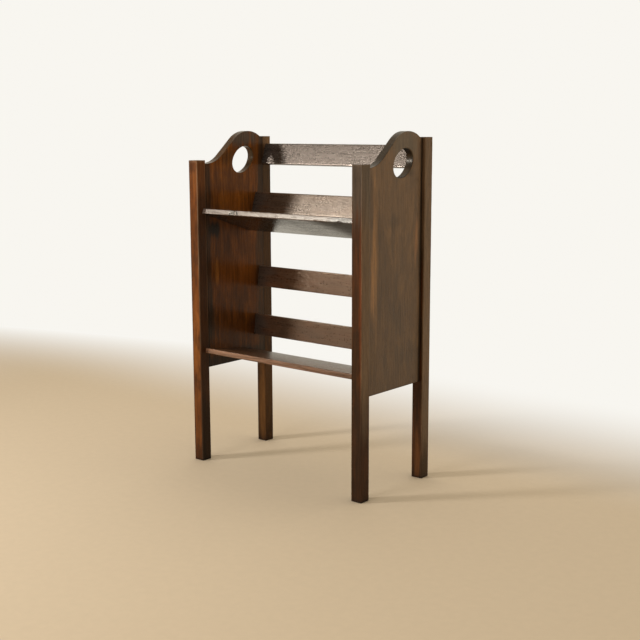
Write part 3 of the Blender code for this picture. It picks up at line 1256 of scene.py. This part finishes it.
WARM_POST = OakFinish(stain=(0.130, 0.038, 0.0078), flame=(0.205, 0.067, 0.014), shade=(0.055, 0.019, 0.006),
                      bare_and_sheen=(0.42, 0.27, 0.16), flame_cover=0.7, shade_cover=0.7, rub=0.6, specular=0.10, coat=0.0)
DARK_POST = OakFinish(stain=(0.048, 0.017, 0.005), flame=(0.088, 0.027, 0.007), shade=(0.025, 0.011, 0.0045),
                      flame_cover=0.6, shade_cover=0.6, specular=0.12, coat=0.02)
BACK_POST = OakFinish(stain=(0.058, 0.025, 0.008), flame=(0.108, 0.041, 0.011), shade=(0.029, 0.013, 0.006),
                      flame_cover=0.6, shade_cover=0.6, specular=0.08, coat=0.0)
WARM_PANEL = OakFinish(stain=(0.155, 0.048, 0.0085), flame=(0.230, 0.074, 0.011), shade=(0.080, 0.029, 0.009),
                       edge=(0.054, 0.024, 0.006), edge_cover=1.0, edge_gloss=0.10, flame_cover=0.7, shade_cover=0.4,
                       line_depth=0.5, cloudy=0.32, rub=0.05, roughness=0.22, specular=0.11, coat=0.0)
DARK_PANEL = OakFinish(stain=(0.148, 0.082, 0.038), flame=(0.198, 0.107, 0.046), shade=(0.110, 0.065, 0.033),
                       edge=(0.020, 0.010, 0.003), edge_cover=1.0, edge_gloss=0.06, flame_cover=0.5, shade_cover=0.6,
                       cloudy=0.6, rub=0.03, specular=0.3, coat=0.0)
# Its pale grey bare colour on the worn front edge is also a painted highlight, for the key light's sheen on that edge.
UPPER_SHELF = OakFinish(stain=(0.065, 0.029, 0.014), flame=(0.105, 0.046, 0.022), shade=(0.038, 0.018, 0.010),
                        bare_and_sheen=(0.245, 0.202, 0.178), rub=0.95, patchy_rub=0.2, roughness=0.33, specular=0.7, coat=0.0)
LOWER_SHELF = OakFinish(stain=(0.080, 0.034, 0.015), flame=(0.120, 0.051, 0.022), shade=(0.042, 0.020, 0.010),
                        bare_and_sheen=(0.34, 0.178, 0.106), rub=0.85, patchy_rub=0.4, line_depth=0.6, roughness=0.33,
                        specular=0.4, gloss_tint=(1.0, 0.84, 0.64), coat=0.03)
UPPER_TOP_SLAT = OakFinish(stain=(0.010, 0.007, 0.005), flame=(0.017, 0.010, 0.006), shade=(0.007, 0.005, 0.004),
                           roughness=0.29, specular=1.0, gloss_tint=(1.0, 0.80, 0.65), ior=1.65, coat=0.05,
                           coat_roughness=0.28, relief=0.6, speckle=0.5, pore_depth=0.2)
UPPER_LOW_SLAT = OakFinish(stain=(0.042, 0.023, 0.013), flame=(0.080, 0.036, 0.016), shade=(0.028, 0.018, 0.012),
                           roughness=0.31, specular=0.72, gloss_tint=(1.0, 0.78, 0.58), ior=1.58, coat=0.05,
                           coat_roughness=0.3, relief=0.6, speckle=0.38, pore_depth=0.2)
LOWER_SLAT = OakFinish(stain=(0.056, 0.023, 0.010), flame=(0.092, 0.034, 0.013), shade=(0.038, 0.019, 0.010),
                       roughness=0.33, specular=0.95, gloss_tint=(1.0, 0.70, 0.47), ior=1.55, coat=0.05,
                       coat_roughness=0.3, relief=0.6, speckle=0.5, pore_depth=0.25)

ENDLESS = math.inf
SLAT_END_SHADE = (
    # Painted shade: a greyer tone on the slats' left ends, which lie in the left panel's shadow.
    Patch((-0.209, 0.0, 0.0), (0.050, ENDLESS, ENDLESS), (0.034, 0.028, 0.024), 0.7),
)
UPPER_SHELF_PATCHES = (
    Patch((0.175, -0.0988, 0.552), (0.045, 0.006, 0.020), (0.095, 0.098, 0.105), 0.8),
    # Painted shade on the underside: darker patches stand for the shade and the dark reflections there, darkest at the
    # left end, with their gloss changed too.
    Patch((0.080, 0.0, 0.0), (0.190, ENDLESS, ENDLESS), (0.008, 0.006, 0.005), 0.3,
          fray=0.3, drift=0.3, matte=-0.06, underneath=True),
    Patch((0.209, 0.0, 0.0), (0.140, ENDLESS, ENDLESS), (0.008, 0.006, 0.005), 0.3,
          fray=0.5, drift=0.5, matte=0.30, underneath=True),
    Patch((-0.209, 0.0, 0.0), (0.240, ENDLESS, ENDLESS), (0.004, 0.003, 0.002), 0.8,
          fray=0.3, drift=0.3, matte=-0.16, underneath=True),
)
FRONT_LEFT_PATCHES = (
    # Painted shade: the inner face is painted darker, and its foot darker still; near the top it keeps a warm colour.
    Patch((-0.209, 0.0, 0.0), (0.003, ENDLESS, ENDLESS), (0.045, 0.019, 0.008), 0.85),
    Patch((-0.234, 0.0, 0.0), (0.005, ENDLESS, ENDLESS), (0.045, 0.017, 0.007), 0.6),
    # Painted shade at the foot of the inner face.
    Patch((-0.209, 0.0, 0.05), (0.003, ENDLESS, 0.14), (0.018, 0.010, 0.006), 0.7),
    Patch((-0.209, 0.0, 0.630), (0.003, ENDLESS, 0.070), (0.150, 0.050, 0.013), 0.9),
)
FRONT_RIGHT_PATCHES = (
    # Painted sheen: the outer face is painted lighter and greyer, for the bright wall it reflects.
    Patch((0.234, 0.0, 0.42), (0.004, ENDLESS, 0.35), (0.158, 0.098, 0.053), 0.9, fray=0.8),
    # Painted sheen at the top of the front face.
    Patch((0.0, -0.1145, 0.62), (ENDLESS, 0.004, 0.10), (0.075, 0.052, 0.034), 0.8),
    # Painted sheen: greyer at the top of the outer face.
    Patch((0.234, 0.0, 0.64), (0.004, ENDLESS, 0.12), (0.122, 0.087, 0.058), 0.8),
    Patch((0.2305, -0.1145, 0.40), (0.004, 0.004, 0.22), (0.125, 0.028, 0.006), 0.7),
    # Painted shade: the front face darker towards the foot.
    Patch((0.0, -0.1145, 0.12), (ENDLESS, 0.004, 0.12), (0.032, 0.015, 0.007), 0.6),
)
BACK_LEFT_PATCHES = (
    Patch((-0.2170, 0.0895, 0.09), (0.014, 0.004, 0.110), (0.150, 0.064, 0.018), 0.7, fray=0.6),
    Patch((-0.209, 0.0, 0.12), (0.003, ENDLESS, 0.12), (0.090, 0.042, 0.014), 0.7),
    Patch((-0.209, 0.0, 0.46), (0.003, ENDLESS, 0.30), (0.076, 0.038, 0.017), 0.85, fray=0.8),
    Patch((-0.209, 0.0, 0.63), (0.003, ENDLESS, 0.06), (0.085, 0.047, 0.022), 0.7),
    Patch((-0.209, 0.1100, 0.700), (0.003, 0.040, 0.028), (0.215, 0.120, 0.060), 0.9),
)
BACK_RIGHT_PATCHES = (
    Patch((0.2225, 0.0895, 0.04), (0.008, 0.004, 0.080), (0.140, 0.050, 0.014), 0.7),
    # Painted light: the front face's strip in the recess beside the panel is painted lighter, against its shade.
    Patch((0.2310, 0.0895, 0.62), (0.006, 0.003, 0.200), (0.140, 0.080, 0.042), 0.85, fray=0.8),
    # Painted sheen: the outer face is painted lighter and greyer, for the bright wall it reflects.
    Patch((0.234, 0.0, 0.45), (0.004, ENDLESS, 0.60), (0.172, 0.107, 0.059), 0.9, fray=0.8),
    # Painted shade: the outer face darker at its foot, where the painted sheen ends.
    Patch((0.234, 0.0, 0.0), (0.004, ENDLESS, 0.075), (0.055, 0.030, 0.014), 0.8),
)
LEFT_PANEL_PATCHES = (
    Patch((-0.209, 0.0, 0.565), (0.010, 0.070, 0.030), (0.260, 0.080, 0.011), 0.5),
    Patch((-0.209, 0.0, 0.410), (0.010, 0.075, 0.050), (0.250, 0.076, 0.011), 0.5),
    # Painted shade on the panel under the lower shelf.
    Patch((-0.209, 0.0, 0.210), (0.010, ENDLESS, 0.034), (0.020, 0.015, 0.010), 0.85, fray=0.3),
    Patch((-0.209, -0.061, 0.415), (0.010, 0.006, 0.030), (0.340, 0.130, 0.025), 0.6),
    Patch((-0.209, 0.030, 0.705), (0.010, 0.060, 0.035), (0.085, 0.062, 0.046), 0.85),
    Patch((-0.209, -0.025, 0.665), (0.010, 0.030, 0.030), (0.095, 0.045, 0.018), 0.7),
    Patch((-0.209, -0.0895, 0.0), (0.010, 0.014, ENDLESS), (0.030, 0.020, 0.012), 0.65, fray=2.2),
    # Painted shade beside the back post.
    Patch((-0.209, 0.0895, 0.45), (0.010, 0.032, ENDLESS), (0.045, 0.030, 0.018), 0.75),
    Patch((-0.209, -0.085, 0.300), (0.010, 0.035, 0.060), (0.035, 0.026, 0.018), 0.7),
    Patch((-0.209, -0.066, 0.510), (0.010, 0.022, 0.024), (0.010, 0.009, 0.008), 0.9),
    # Painted highlight: the hole's wall is rougher at its glint and painted a slightly paler grey there.
    Patch((-0.218, 0.058, 0.665), (0.016, 0.014, 0.024), (0.060, 0.040, 0.022), 0.5,
          fray=0.3, drift=0.3, matte=0.05),
)
RIGHT_PANEL_PATCHES = (
    # Painted shade on the panel's border in the recess beside the back post.
    Patch((0.227, 0.0895, 0.0), (0.004, 0.009, ENDLESS), (0.022, 0.014, 0.008), 0.85, fray=0.6),
    Patch((0.227, 0.030, 0.690), (0.004, 0.060, 0.045), (0.136, 0.096, 0.060), 0.85),
    Patch((0.218, 0.045, 0.638), (0.020, 0.030, 0.016), (0.052, 0.031, 0.015), 0.8, fray=0.6, matte=0.12),
    # Painted shade: the hole's upper wall, which faces down, painted near black and made duller.
    Patch((0.214, 0.050, 0.682), (0.014, 0.020, 0.018), (0.004, 0.003, 0.002), 0.95, fray=0.6, matte=0.4),
    Patch((0.227, 0.000, 0.545), (0.010, 0.030, 0.022), (0.070, 0.040, 0.018), 0.5),
    Patch((0.227, -0.066, 0.480), (0.010, 0.015, 0.220), (0.420, 0.210, 0.076), 0.9, fray=1.2),
    Patch((0.227, 0.071, 0.500), (0.010, 0.008, 0.060), (0.270, 0.130, 0.055), 0.8, fray=1.2),
    Patch((0.227, -0.075, 0.280), (0.010, 0.020, 0.080), (0.160, 0.085, 0.030), 0.5),
)


@dataclass
class SideFrame:
    """One end of the stand: two posts and the scrolled panel between them."""

    side: Side
    seed: int
    panel_seed: int
    front_finish: OakFinish
    back_finish: OakFinish
    panel_finish: OakFinish
    front_patches: tuple[Patch, ...]
    back_patches: tuple[Patch, ...]
    panel_patches: tuple[Patch, ...]
    # How much painted shade darkens each post towards its foot.
    front_foot_shade: float = 0.3
    back_foot_shade: float = 0.15

    def build(self) -> None:
        """Builds the posts and the panel."""
        tops: dict[str, float] = {}
        for end, finish, seed, patches, foot_shade in (
                ("front", self.front_finish, self.seed, self.front_patches, self.front_foot_shade),
                ("back", self.back_finish, self.seed + 1, self.back_patches, self.back_foot_shade)):
            node = f"{end}_{self.side.value}_post"
            low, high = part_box(node)
            Post(node, "post_oak", Grain.UPRIGHT, low, high, finish, seed, patches, foot_shade=foot_shade).build()
            tops[f"{end}_top"] = high.z
        node = f"{self.side.value}_side_panel"
        low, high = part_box(node)
        ScrolledPanel(node, "panel_oak", Grain.UPRIGHT, low, high, self.panel_finish, self.panel_seed,
                      self.panel_patches, **tops).build()


@dataclass
class Trough:
    """One trough: a shelf tilted down to the back and two slats leaning back."""

    tier: str
    seed: int
    shelf_top: float
    shelf_tilt: float
    slat_top: float
    slat_back: float
    slat_lean: float
    slat_pitch: float
    shelf_finish: OakFinish
    slat_finishes: tuple[OakFinish, OakFinish]
    chips: tuple[Chip, ...] = ()
    cracks: tuple[Crack, ...] = ()
    front_wear_and_sheen: WearAndSheen = WearAndSheen()
    shelf_patches: tuple[Patch, ...] = ()
    slat_patches: tuple[Patch, ...] = SLAT_END_SHADE
    half_length: float = 0.2087
    shelf_front: float = -0.0988
    shelf_depth: float = 0.152
    shelf_thickness: float = 0.011
    shelf_cuts: int = 180
    slat_width: float = 0.047
    slat_thickness: float = 0.010

    def build(self) -> None:
        """Builds the shelf and the slats."""
        pivot = Vector((0.0, self.shelf_front, self.shelf_top))
        low = pivot + Vector((-self.half_length, 0.0, -self.shelf_thickness))
        high = pivot + Vector((self.half_length, self.shelf_depth, 0.0))
        Shelf(f"{self.tier}_shelf", "shelf_oak", Grain.LEVEL, low, high, self.shelf_finish, self.seed,
              cuts=self.shelf_cuts, tilt=self.shelf_tilt, pivot=pivot, patches=self.shelf_patches,
              chips=self.chips, cracks=self.cracks, front_wear_and_sheen=self.front_wear_and_sheen).build()
        step = Matrix.Rotation(-self.slat_lean, 3, "X") @ Vector((0.0, 0.0, -self.slat_pitch))
        top = Vector((0.0, self.slat_back, self.slat_top))
        slats = zip(("top", "low"), (top, top + step), self.slat_finishes)
        for number, (label, pivot, finish) in enumerate(slats, start=1):
            low = pivot + Vector((-self.half_length, 0.0, -self.slat_width))
            high = pivot + Vector((self.half_length, self.slat_thickness, 0.0))
            Timber(f"{self.tier}_{label}_slat", "slat_oak", Grain.LEVEL, low, high, finish, self.seed + number,
                   tilt=self.slat_lean, pivot=pivot, patches=self.slat_patches).build()


@dataclass(frozen=True)
class Lamp:
    """A round lamp, by how far to the left of the front and how high it hangs, as angles."""

    name: str
    bearing: float
    height: float
    distance: float
    size: float
    power: float
    spread: float = math.pi

    def hang(self, target: Vector) -> None:
        """Hangs the lamp so that it faces a target.

        Args:
            target: The target.
        """
        level = math.cos(self.height)
        offset = Vector((-math.sin(self.bearing) * level, -math.cos(self.bearing) * level, math.sin(self.height)))
        lamp = bpy.data.lights.new(self.name, "AREA")
        lamp.shape = "DISK"
        lamp.size = self.size
        lamp.energy = self.power
        lamp.spread = self.spread
        holder = bpy.data.objects.new(self.name, lamp)
        holder.location = target + self.distance * offset
        holder.rotation_euler = offset.to_track_quat("Z", "Y").to_euler()
        bpy.context.scene.collection.objects.link(holder)


KEY_LIGHT = Lamp("key_light", bearing=math.radians(37), height=math.radians(20), distance=2.6, size=0.40, power=10.0,
                 spread=math.radians(100))
FILL_LIGHT = Lamp("fill_light", bearing=math.radians(4), height=math.radians(14), distance=2.8, size=1.1, power=20.0)


@dataclass(frozen=True)
class Studio:
    """The floor, the light and the camera."""

    target: Vector = Vector((0.0, 0.0, 0.45))
    lamps: tuple[Lamp, ...] = (KEY_LIGHT, FILL_LIGHT)
    backdrop: Colour = (0.94, 0.92, 0.87)
    gloss_backdrop: Colour = (0.92, 0.86, 0.73)
    floor: Colour = (0.63, 0.50, 0.35)
    floor_radius: float = 9.0
    floor_sides: int = 96
    floor_specks: float = 60.0
    speck_detail: float = 4.0
    floor_tone: Span = (0.96, 0.08)
    floor_roughness: float = 0.8
    floor_fade: Span = (1.1, 3.2)
    back_fade: Span = (0.15, 0.95)
    sky: Colour = (1.0, 0.93, 0.78)
    front_sky: float = 0.45
    back_sky: float = 0.92
    sky_rise: Span = (-0.45, 0.35)
    camera_place: Vector = Vector((1.5074, -1.7465, 0.7286))
    camera_yaw: float = math.radians(40.16)
    camera_pitch: float = math.radians(9.95)
    camera_roll: float = math.radians(-0.16)
    focal_pixels: float = 1105.0
    image_pixels: float = 640.0
    sensor_mm: float = 36.0

    def build(self) -> None:
        """Sets up the whole studio."""
        bpy.context.scene.view_settings.view_transform = "Standard"
        self.lay_floor()
        self.light()
        self.aim_camera()

    def lay_floor(self) -> None:
        """Lays a round pale floor that fades into the backdrop far from the stand."""
        bpy.ops.object.select_all(action="DESELECT")
        bpy.ops.mesh.primitive_circle_add(vertices=self.floor_sides, radius=self.floor_radius, fill_type="NGON")
        floor = bpy.context.active_object
        floor.name = "floor"
        material, bench, shader = new_material("pale_floor")
        place = bench.add("ShaderNodeTexCoord", out="Object")
        specks = bench.noise(bench.mapped(place, (self.floor_specks,) * 3), self.speck_detail)
        colour = bench.mix(1.0, opaque(self.floor), bench.grey(specks.scaled(*self.floor_tone)), "MULTIPLY")
        bench.plug(shader.inputs["Base Color"], colour)
        shader.inputs["Roughness"].default_value = self.floor_roughness
        behind = bench.add("ShaderNodeSeparateXYZ", {}, {0: place}, 1).ramp(*self.back_fade)
        far = bench.length(place).ramp(*self.floor_fade) + behind
        glossy = bench.add("ShaderNodeLightPath", out="Is Glossy Ray")
        seen = bench.add("ShaderNodeLightPath", out="Is Camera Ray") + glossy
        shade = bench.mix(glossy, opaque(self.backdrop), opaque(self.gloss_backdrop))
        glow = bench.add("ShaderNodeEmission", {}, {"Color": shade, "Strength": 1.0})
        lit = Wire(bench, shader.outputs[0])
        shown = bench.add("ShaderNodeMixShader", {}, {0: far.at_most(1.0) * seen, 1: lit, 2: glow})
        bench.plug(material.node_tree.nodes["Material Output"].inputs["Surface"], shown)
        floor.data.materials.append(material)

    def light(self) -> None:
        """Hangs the lamps, and adds a soft light from all round that is brighter at the back than in front."""
        for lamp in self.lamps:
            lamp.hang(self.target)

        world = bpy.data.worlds.new("studio")
        world.use_nodes = True
        bpy.context.scene.world = world
        bench = ShaderBench(world.node_tree)
        heading = bench.add("ShaderNodeTexCoord", out="Generated")
        backward = bench.add("ShaderNodeSeparateXYZ", {}, {0: heading}, 1).ramp(*self.sky_rise)
        level = self.front_sky + (self.back_sky - self.front_sky) * backward
        soft = bench.add("ShaderNodeBackground", {}, {"Color": opaque(self.sky), "Strength": level})
        plain = bench.add("ShaderNodeBackground", {}, {"Color": opaque(self.backdrop), "Strength": 1.0})
        seen = bench.add("ShaderNodeLightPath", out="Is Camera Ray")
        sky = bench.add("ShaderNodeMixShader", {}, {0: seen, 1: soft, 2: plain})
        bench.plug(world.node_tree.nodes["World Output"].inputs["Surface"], sky)

    def aim_camera(self) -> None:
        """Puts the camera where the photograph was taken from."""
        yaw, pitch, roll = self.camera_yaw, self.camera_pitch, self.camera_roll
        forward = Vector((-math.sin(yaw) * math.cos(pitch), math.cos(yaw) * math.cos(pitch), -math.sin(pitch)))
        level = Vector((math.cos(yaw), math.sin(yaw), 0.0))
        upward = level.cross(forward)
        right = math.cos(roll) * level + math.sin(roll) * upward
        up = math.cos(roll) * upward - math.sin(roll) * level
        lens = bpy.data.cameras.new("camera")
        lens.sensor_width = self.sensor_mm
        lens.lens = self.focal_pixels / self.image_pixels * self.sensor_mm
        camera = bpy.data.objects.new("camera", lens)
        turn = Matrix((right, up, -forward)).transposed().to_4x4()
        camera.matrix_world = Matrix.Translation(self.camera_place) @ turn
        bpy.context.scene.collection.objects.link(camera)
        bpy.context.scene.camera = camera


def dress_dowels() -> None:
    """Gives the hidden dowels their bare birch."""
    birch = BirchFinish().material()
    for name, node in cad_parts.items():
        if "dowel" in name:
            node.data.materials.clear()
            node.data.materials.append(birch)
    LOG.info("dowels dressed")


UPPER_CHIPS = (
    Chip(x=0.108, half_length=0.005, depth=1.0 * MM),
    Chip(x=0.121, half_length=0.004, depth=0.6 * MM),
    Chip(x=0.168, half_length=0.006, depth=2.4 * MM),
)
UPPER_CRACKS = (
    Crack(x=-0.1250, half_width=0.0017, slant=0.5),
    Crack(x=-0.1175, half_width=0.0017, slant=0.5),
    Crack(x=-0.1075, half_width=0.0011, slant=-0.6),
)
UPPER_WEAR_AND_SHEEN = WearAndSheen(start=0.125)
LOWER_WEAR = WearAndSheen(start=0.0, fade=0.12, spare=0.5, top_bias=0.6)


def main() -> None:
    """Builds the studio and the stand, piece by piece."""
    logging.basicConfig(level=logging.INFO, format="%(message)s")
    Studio().build()
    SideFrame(
        Side.LEFT, seed=1, panel_seed=7,
        front_finish=WARM_POST, back_finish=BACK_POST, panel_finish=WARM_PANEL,
        front_patches=FRONT_LEFT_PATCHES, back_patches=BACK_LEFT_PATCHES, panel_patches=LEFT_PANEL_PATCHES).build()
    SideFrame(
        Side.RIGHT, seed=3, panel_seed=8,
        front_finish=DARK_POST, back_finish=DARK_POST, panel_finish=DARK_PANEL,
        front_patches=FRONT_RIGHT_PATCHES, back_patches=BACK_RIGHT_PATCHES, panel_patches=RIGHT_PANEL_PATCHES,
        back_foot_shade=0.25).build()
    Trough(
        "upper", seed=11, shelf_top=0.5563, shelf_tilt=math.radians(18),
        slat_top=0.691, slat_back=0.099, slat_lean=math.radians(18), slat_pitch=0.112,
        shelf_finish=UPPER_SHELF, slat_finishes=(UPPER_TOP_SLAT, UPPER_LOW_SLAT),
        chips=UPPER_CHIPS, cracks=UPPER_CRACKS, front_wear_and_sheen=UPPER_WEAR_AND_SHEEN, shelf_patches=UPPER_SHELF_PATCHES).build()
    Trough(
        "lower", seed=21, shelf_top=0.2525, shelf_tilt=math.radians(9.4),
        slat_top=0.4175, slat_back=0.073, slat_lean=math.radians(7.2), slat_pitch=0.110,
        shelf_finish=LOWER_SHELF, slat_finishes=(LOWER_SLAT, LOWER_SLAT), front_wear_and_sheen=LOWER_WEAR).build()
    dress_dowels()


if __name__ == "__main__":
    main()
